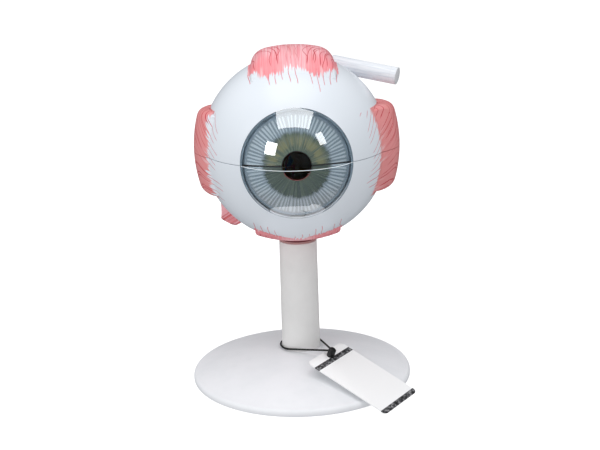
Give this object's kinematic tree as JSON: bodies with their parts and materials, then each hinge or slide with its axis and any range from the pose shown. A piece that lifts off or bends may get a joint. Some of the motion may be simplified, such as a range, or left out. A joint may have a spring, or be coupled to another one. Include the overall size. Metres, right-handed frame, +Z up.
{
  "type": "eye anatomy model",
  "caption": "Demountable model of a right human eye on a round stand: nested sclera and choroid half shells, vitreous body, lens, iris, muscle stumps and a hanging tag.",
  "frame": {"origin": "centre of the base's flat underside, on the post's axis", "axes": "+Z up along the post, -Y the way the cornea faces, +X the nasal side of the eye"},
  "size_m": [0.1392, 0.1392, 0.2115],
  "materials": {
    "sclera_white": "glossy painted moulding",
    "cornea_clear": "clear, polished",
    "muscle_red": "painted red with fine vessels",
    "tendon_white": "satin white",
    "nerve_cream": "painted cream",
    "choroid_retina": "painted, orange-red inside and dark outside",
    "iris_paint": "painted with radial streaks",
    "ciliary_brown": "painted dark brown",
    "lens_clear": "clear, polished",
    "vitreous_clear": "clear, polished",
    "stand_white": "satin white moulding",
    "screw_steel": "zinc plated",
    "washer_steel": "zinc plated",
    "insert_brass": "turned",
    "peg_steel": "ground",
    "card_white": "coated card",
    "lock_black": "moulded black",
    "cord_black": "black elastic cord"
  },
  "bodies": {
    "stand": {"stand_base": "stand_white", "stand_post": "stand_white", "stand_screw": "screw_steel", "stand_washer": "washer_steel", "threaded_insert": "insert_brass", "lower_sclera": "sclera_white", "lower_cornea": "cornea_clear", "lateral_rectus_lower": "muscle_red", "medial_rectus_lower": "muscle_red", "inferior_rectus": "muscle_red", "inferior_oblique": "muscle_red", "optic_nerve_lower": "nerve_cream", "locating_pegs": "peg_steel", "tag_card": "card_white", "tag_lock": "lock_black", "tag_loop": "cord_black"},
    "lower_choroid": {"lower_choroid": "choroid_retina", "lower_iris": "iris_paint", "lower_ciliary_body": "ciliary_brown"},
    "vitreous": {"vitreous_body": "vitreous_clear"},
    "lens": {"lens": "lens_clear"},
    "upper_choroid": {"upper_choroid": "choroid_retina", "upper_iris": "iris_paint", "upper_ciliary_body": "ciliary_brown"},
    "upper_globe": {"upper_sclera": "sclera_white", "upper_cornea": "cornea_clear", "superior_rectus": "muscle_red", "lateral_rectus_upper": "muscle_red", "medial_rectus_upper": "muscle_red", "superior_oblique": "tendon_white", "optic_nerve_upper": "nerve_cream"}
  },
  "joints": [
    {"name": "lower_choroid_lift", "type": "slide", "parent": "stand", "child": "lower_choroid", "axis": [0, 0, 1], "range_m": [0, 0.062]},
    {"name": "vitreous_lift", "type": "slide", "parent": "lower_choroid", "child": "vitreous", "axis": [0, 0, 1], "range_m": [0, 0.056]},
    {"name": "lens_lift", "type": "slide", "parent": "vitreous", "child": "lens", "axis": [0, 0, 1], "range_m": [0, 0.03]},
    {"name": "upper_choroid_lift", "type": "slide", "parent": "lens", "child": "upper_choroid", "axis": [0, 0, 1], "range_m": [0, 0.058]},
    {"name": "upper_globe_lift", "type": "slide", "parent": "upper_choroid", "child": "upper_globe", "axis": [0, 0, 1], "range_m": [0, 0.064]}
  ]
}
